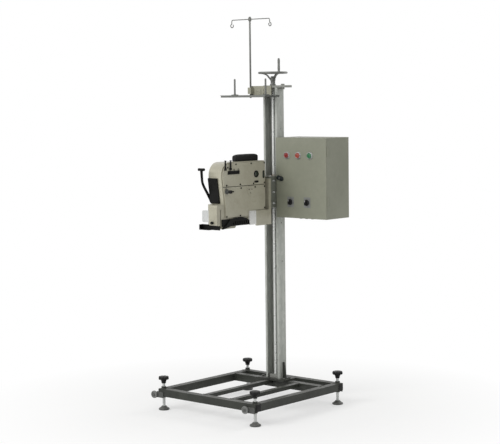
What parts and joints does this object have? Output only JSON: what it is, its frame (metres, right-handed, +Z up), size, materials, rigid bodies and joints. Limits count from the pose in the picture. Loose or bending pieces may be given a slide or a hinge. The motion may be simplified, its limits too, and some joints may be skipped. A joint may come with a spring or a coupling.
{
  "type": "bag closer sewing machine",
  "caption": "Bag closer sewing station: sewing head on a screw-lifted channel column with a hand wheel, thread stand, control box and a tube base on levelling feet.",
  "frame": {"origin": "on the floor, at the middle of the machine's outline", "axes": "+Z up; +Y away from the operator; bags leave towards -X"},
  "size_m": [0.77, 0.76, 2.094],
  "materials": {
    "frame_paint": "semi-gloss near-black olive paint",
    "column_steel": "dull galvanised steel",
    "plate_steel": "dull machined steel",
    "bright_steel": "polished steel",
    "dark_steel": "dark phosphated steel",
    "carriage_paint": "grey-green paint",
    "head_enamel": "cream enamel on a casting",
    "black_plastic": "moulded black plastic",
    "black_enamel": "black enamel",
    "box_paint": "textured grey-beige powder coat",
    "beige_paint": "beige paint",
    "bronze": "sand-cast bronze",
    "rubber": "moulded rubber",
    "red_cap": "translucent red cap",
    "amber_cap": "orange-red cap",
    "green_cap": "green cap",
    "sight_glass": "dark oil behind a sight glass",
    "grey_plastic": "grey moulded plastic",
    "aluminium": "cast aluminium"
  },
  "bodies": {
    "stand": {"base_frame": "frame_paint", "wheel_brackets": "dark_steel", "column": "column_steel", "column_foot": "frame_paint", "top_plate": "dark_steel", "screw_bearings": "dark_steel", "stand_bracket": "beige_paint", "thread_tray": "plate_steel", "thread_guide": "plate_steel", "cone_spindles": "plate_steel", "control_box": "box_paint", "switchgear": "grey_plastic", "box_fittings": "dark_steel"},
    "lift_screw": {"lead_screw": "bright_steel", "handwheel": "plate_steel"},
    "wheel_grip": {"handwheel_grip": "plate_steel"},
    "head": {"carriage": "carriage_paint", "lift_nut": "bronze", "head_bracket": "head_enamel", "head_housing": "head_enamel", "head_cover": "head_enamel", "oil_windows": "sight_glass", "carry_handle": "black_plastic", "needle_guard": "black_enamel", "throat_plate": "bright_steel", "feed_guard": "black_enamel", "guard_holder": "aluminium", "tension_post": "dark_steel", "motor": "aluminium", "drive_belt": "rubber", "thread_cutter": "bright_steel"},
    "box_door": {"control_box_door": "box_paint", "door_seal": "rubber", "door_bezels": "grey_plastic"},
    "latch": {"door_latch": "black_plastic"},
    "red_push": {"red_button": "red_cap"},
    "amber_push": {"amber_button": "amber_cap"},
    "green_push": {"green_button": "green_cap"},
    "selector_a": {"selector_left": "black_plastic"},
    "selector_b": {"selector_right": "black_plastic"},
    "head_shaft": {"main_shaft": "plate_steel"},
    "motor_rotor": {"motor_pulley": "plate_steel"},
    "needle": {"needle_bar": "bright_steel"},
    "looper_rod": {"looper": "bright_steel"},
    "feed": {"feed_dog": "plate_steel"},
    "lifter": {"presser_lever": "black_enamel"},
    "presser": {"presser_foot": "black_enamel"},
    "tension_nut": {"tension_knob": "black_plastic"},
    "pad_front_left": {"levelling_pad_front_left": "dark_steel"},
    "screw_front_left": {"levelling_screw_front_left": "black_plastic"},
    "wheel_front_left": {"transport_wheel_front_left": "grey_plastic"},
    "pad_front_right": {"levelling_pad_front_right": "dark_steel"},
    "screw_front_right": {"levelling_screw_front_right": "black_plastic"},
    "wheel_front_right": {"transport_wheel_front_right": "grey_plastic"},
    "pad_rear_left": {"levelling_pad_rear_left": "dark_steel"},
    "screw_rear_left": {"levelling_screw_rear_left": "black_plastic"},
    "wheel_rear_left": {"transport_wheel_rear_left": "grey_plastic"},
    "pad_rear_right": {"levelling_pad_rear_right": "dark_steel"},
    "screw_rear_right": {"levelling_screw_rear_right": "black_plastic"},
    "wheel_rear_right": {"transport_wheel_rear_right": "grey_plastic"}
  },
  "joints": [
    {"name": "lift_screw_turn", "type": "hinge", "parent": "stand", "child": "lift_screw", "pos_m": [-0.016, 0.226, 1.79], "axis": [0, 0, 1], "range_deg": [-9001, 12601]},
    {"name": "grip_spin", "type": "hinge", "parent": "lift_screw", "child": "wheel_grip", "pos_m": [0.0516, 0.1959, 1.83], "axis": [0, 0, 1], "continuous": true},
    {"name": "head_lift", "type": "slide", "parent": "stand", "child": "head", "axis": [0, 0, 1], "range_m": [-0.35, 0.25]},
    {"name": "door_swing", "type": "hinge", "parent": "stand", "child": "box_door", "pos_m": [0.381, 0.1902, 1.237], "axis": [0, 0, 1], "range_deg": [0, 110]},
    {"name": "latch_turn", "type": "hinge", "parent": "box_door", "child": "latch", "pos_m": [0.069, 0.18, 1.225], "axis": [0, 1, 0], "range_deg": [0, 90]},
    {"name": "red_press", "type": "slide", "parent": "box_door", "child": "red_push", "axis": [0, 1, 0], "range_m": [0, 0.004], "stiffness_N_per_m": 800, "springref_m": -0.003},
    {"name": "amber_press", "type": "slide", "parent": "box_door", "child": "amber_push", "axis": [0, 1, 0], "range_m": [0, 0.004], "stiffness_N_per_m": 800, "springref_m": -0.003},
    {"name": "green_press", "type": "slide", "parent": "box_door", "child": "green_push", "axis": [0, 1, 0], "range_m": [0, 0.004], "stiffness_N_per_m": 800, "springref_m": -0.003},
    {"name": "selector_a_turn", "type": "hinge", "parent": "box_door", "child": "selector_a", "pos_m": [0.139, 0.175, 1.1], "axis": [0, 1, 0], "range_deg": [-45, 45]},
    {"name": "selector_b_turn", "type": "hinge", "parent": "box_door", "child": "selector_b", "pos_m": [0.252, 0.175, 1.1], "axis": [0, 1, 0], "range_deg": [-45, 45]},
    {"name": "shaft_turn", "type": "hinge", "parent": "head", "child": "head_shaft", "pos_m": [-0.05, -0.04, 1.17], "axis": [1, 0, 0], "range_deg": [0, 180]},
    {"name": "motor_turn", "type": "hinge", "parent": "head", "child": "motor_rotor", "pos_m": [-0.08, 0.105, 1.2], "axis": [1, 0, 0], "range_deg": [0, 276]},
    {"name": "needle_stroke", "type": "slide", "parent": "head", "child": "needle", "axis": [0, -1, 0], "range_m": [0, 0.0285]},
    {"name": "looper_rock", "type": "hinge", "parent": "head", "child": "looper_rod", "pos_m": [0.031, -0.2875, 1.058], "axis": [0, 0, 1], "range_deg": [-21, 0]},
    {"name": "feed_stroke", "type": "slide", "parent": "head", "child": "feed", "axis": [-1, 0, 0], "range_m": [0, 0.0062]},
    {"name": "lever_lift", "type": "hinge", "parent": "head", "child": "lifter", "pos_m": [-0.055, -0.236, 1.126], "axis": [1, 0, 0], "range_deg": [0, 25]},
    {"name": "presser_lift", "type": "slide", "parent": "head", "child": "presser", "axis": [0, 1, 0], "range_m": [0, 0.0052], "stiffness_N_per_m": 1500, "springref_m": -0.012},
    {"name": "tension_turn", "type": "hinge", "parent": "head", "child": "tension_nut", "pos_m": [0.07, -0.228, 1.174], "axis": [1, 0, 0], "continuous": true},
    {"name": "foot_slide_front_left", "type": "slide", "parent": "stand", "child": "pad_front_left", "axis": [0, 0, 1], "range_m": [-0.01, 0.02]},
    {"name": "foot_turn_front_left", "type": "hinge", "parent": "pad_front_left", "child": "screw_front_left", "pos_m": [-0.323, -0.34, 0.17], "axis": [0, 0, 1], "range_deg": [-1801, 3601]},
    {"name": "wheel_spin_front_left", "type": "hinge", "parent": "stand", "child": "wheel_front_left", "pos_m": [-0.365, -0.37, 0.082], "axis": [0, 1, 0], "continuous": true},
    {"name": "foot_slide_front_right", "type": "slide", "parent": "stand", "child": "pad_front_right", "axis": [0, 0, 1], "range_m": [-0.01, 0.02]},
    {"name": "foot_turn_front_right", "type": "hinge", "parent": "pad_front_right", "child": "screw_front_right", "pos_m": [0.323, -0.34, 0.17], "axis": [0, 0, 1], "range_deg": [-1801, 3601]},
    {"name": "wheel_spin_front_right", "type": "hinge", "parent": "stand", "child": "wheel_front_right", "pos_m": [0.281, -0.37, 0.082], "axis": [0, 1, 0], "continuous": true},
    {"name": "foot_slide_rear_left", "type": "slide", "parent": "stand", "child": "pad_rear_left", "axis": [0, 0, 1], "range_m": [-0.01, 0.02]},
    {"name": "foot_turn_rear_left", "type": "hinge", "parent": "pad_rear_left", "child": "screw_rear_left", "pos_m": [-0.323, 0.34, 0.17], "axis": [0, 0, 1], "range_deg": [-1801, 3601]},
    {"name": "wheel_spin_rear_left", "type": "hinge", "parent": "stand", "child": "wheel_rear_left", "pos_m": [-0.365, 0.37, 0.082], "axis": [0, 1, 0], "continuous": true},
    {"name": "foot_slide_rear_right", "type": "slide", "parent": "stand", "child": "pad_rear_right", "axis": [0, 0, 1], "range_m": [-0.01, 0.02]},
    {"name": "foot_turn_rear_right", "type": "hinge", "parent": "pad_rear_right", "child": "screw_rear_right", "pos_m": [0.323, 0.34, 0.17], "axis": [0, 0, 1], "range_deg": [-1801, 3601]},
    {"name": "wheel_spin_rear_right", "type": "hinge", "parent": "stand", "child": "wheel_rear_right", "pos_m": [0.281, 0.37, 0.082], "axis": [0, 1, 0], "continuous": true}
  ],
  "couplings": [
    {"joint": "lift_screw_turn", "follows": "head_lift", "rad_per_m": -628.32},
    {"joint": "motor_turn", "follows": "shaft_turn", "ratio": 1.5282},
    {"joint": "needle_stroke", "follows": "shaft_turn", "m_per_rad": 0.0089127},
    {"joint": "looper_rock", "follows": "shaft_turn", "ratio": -0.11111},
    {"joint": "feed_stroke", "follows": "shaft_turn", "m_per_rad": 0.0019099},
    {"joint": "presser_lift", "follows": "lever_lift", "m_per_rad": 0.011459},
    {"joint": "foot_turn_front_left", "follows": "foot_slide_front_left", "rad_per_m": 3141.6},
    {"joint": "foot_turn_front_right", "follows": "foot_slide_front_right", "rad_per_m": 3141.6},
    {"joint": "foot_turn_rear_left", "follows": "foot_slide_rear_left", "rad_per_m": 3141.6},
    {"joint": "foot_turn_rear_right", "follows": "foot_slide_rear_right", "rad_per_m": 3141.6}
  ]
}
